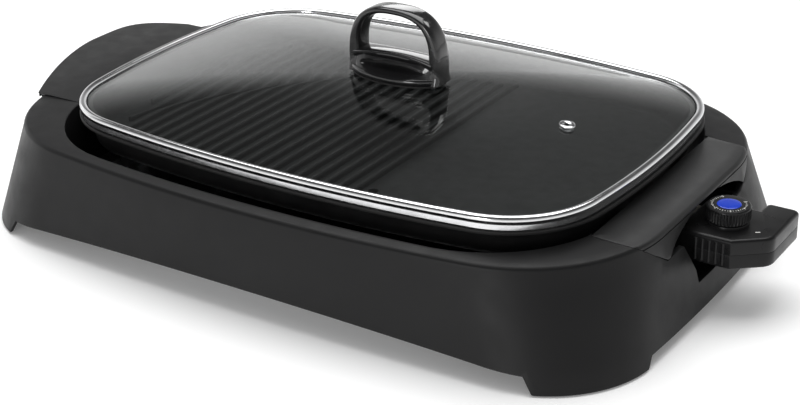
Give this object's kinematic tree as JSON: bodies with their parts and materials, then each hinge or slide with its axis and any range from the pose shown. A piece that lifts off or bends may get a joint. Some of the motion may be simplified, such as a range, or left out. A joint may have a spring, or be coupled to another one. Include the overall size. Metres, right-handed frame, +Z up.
{
  "type": "electric tabletop grill",
  "caption": "Long electric grill with a flared dark base, ribbed lift-out plate, side handles, domed glass lid in a bright rim and a plug-in thermostat control with a knob.",
  "frame": {"origin": "on the table under the middle of the whole object", "axes": "+Z up, +X along the length to the end with the plug-in control, +Y to the back"},
  "size_m": [0.645, 0.368, 0.1788],
  "materials": {
    "base_plastic": "fine-textured dark grey moulded plastic",
    "handle_plastic": "satin dark grey moulded plastic",
    "nonstick_coating": "dark grey non-stick coating on cast aluminium",
    "bright_steel": "polished stainless steel",
    "clear_glass": "clear tempered glass",
    "black_gloss": "smooth black moulded plastic",
    "control_black": "semi-matte black moulded plastic",
    "black_rubber": "black silicone rubber",
    "blue_gloss": "glossy blue plastic",
    "sheet_steel": "plain rolled steel sheet",
    "strap_steel": "zinc-plated steel",
    "heater_sheath": "oxidised steel tube",
    "ceramic": "glazed ceramic",
    "switch_resin": "moulded phenolic resin"
  },
  "bodies": {
    "base": {"base_shell": "base_plastic", "opening_wall": "base_plastic", "pan_ledge": "base_plastic", "control_well": "base_plastic", "reflector_pan": "sheet_steel", "pan_screws": "strap_steel", "rubber_feet": "black_rubber"},
    "drip_tray": {"drip_tray": "sheet_steel"},
    "plate": {"grill_plate": "nonstick_coating", "heating_element": "heater_sheath", "terminal_pins": "bright_steel", "terminal_insulators": "ceramic", "terminal_guard": "sheet_steel", "guard_screws": "strap_steel", "probe_sleeve": "strap_steel", "handle_left": "handle_plastic", "handle_right": "handle_plastic", "handle_brackets_left": "strap_steel", "handle_brackets_right": "strap_steel", "bracket_screws": "strap_steel", "handle_screws": "strap_steel"},
    "lid": {"lid_glass": "clear_glass", "lid_rim": "bright_steel", "rim_seal": "black_rubber", "lid_handle": "black_gloss", "handle_gasket": "black_rubber", "handle_washers": "bright_steel", "lid_screws": "bright_steel", "steam_vent": "bright_steel"},
    "control": {"control_housing_upper": "control_black", "control_housing_lower": "control_black", "housing_screws": "strap_steel", "contact_socket": "ceramic", "probe_rod": "bright_steel", "thermostat_switch": "switch_resin", "cord_gland": "black_rubber"},
    "knob": {"control_knob": "control_black", "knob_cap": "blue_gloss", "thermostat_shaft": "bright_steel"}
  },
  "joints": [
    {"name": "lift_tray", "type": "slide", "parent": "base", "child": "drip_tray", "axis": [0, 0, 1], "range_m": [0, 0.1]},
    {"name": "lift_plate", "type": "slide", "parent": "drip_tray", "child": "plate", "axis": [0, 0, 1], "range_m": [0, 0.12]},
    {"name": "lift_lid", "type": "slide", "parent": "plate", "child": "lid", "axis": [0, 0, 1], "range_m": [0, 0.15]},
    {"name": "unplug_control", "type": "slide", "parent": "plate", "child": "control", "axis": [1, 0, 0], "range_m": [0, 0.08]},
    {"name": "turn_knob", "type": "hinge", "parent": "control", "child": "knob", "pos_m": [0.2855, 0.01, 0.062], "axis": [0, 0, -1], "range_deg": [0, 270]}
  ]
}
